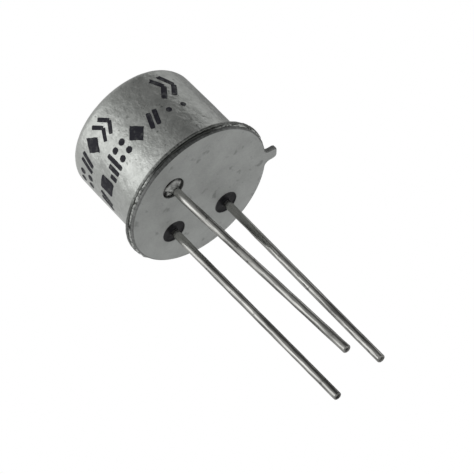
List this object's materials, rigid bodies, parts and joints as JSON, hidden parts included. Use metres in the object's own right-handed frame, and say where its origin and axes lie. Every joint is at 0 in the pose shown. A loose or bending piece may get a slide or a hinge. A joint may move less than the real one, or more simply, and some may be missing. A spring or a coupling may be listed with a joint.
{
  "type": "npn transistor",
  "caption": "NPN transistor in a drawn metal can welded to a flanged header with an index tab, glass-sealed emitter and base leads, and a collector lead brazed to the header.",
  "frame": {"origin": "centre of the seating face, the flat underside of the header", "axes": "+Z along the can's axis to its closed top; +X to the emitter lead and +Y to the base lead; the leads hang along -Z"},
  "size_m": [0.0094, 0.0094, 0.0208],
  "materials": {
    "can_nickel": "matte nickel plate",
    "header_alloy": "matte plated sealing alloy",
    "seal_glass": "black sealing glass",
    "lead_tin": "tinned wire",
    "braze_metal": "bright braze",
    "silicon": "polished silicon",
    "gold_preform": "satin gold alloy",
    "bond_aluminium": "bright wire"
  },
  "bodies": {
    "root": {"can": "can_nickel", "header": "header_alloy", "emitter_glass": "seal_glass", "base_glass": "seal_glass", "emitter_lead": "lead_tin", "base_lead": "lead_tin", "collector_lead": "lead_tin", "collector_braze": "braze_metal", "die": "silicon", "die_preform": "gold_preform", "emitter_wire": "bond_aluminium", "base_wire": "bond_aluminium"}
  },
  "joints": []
}
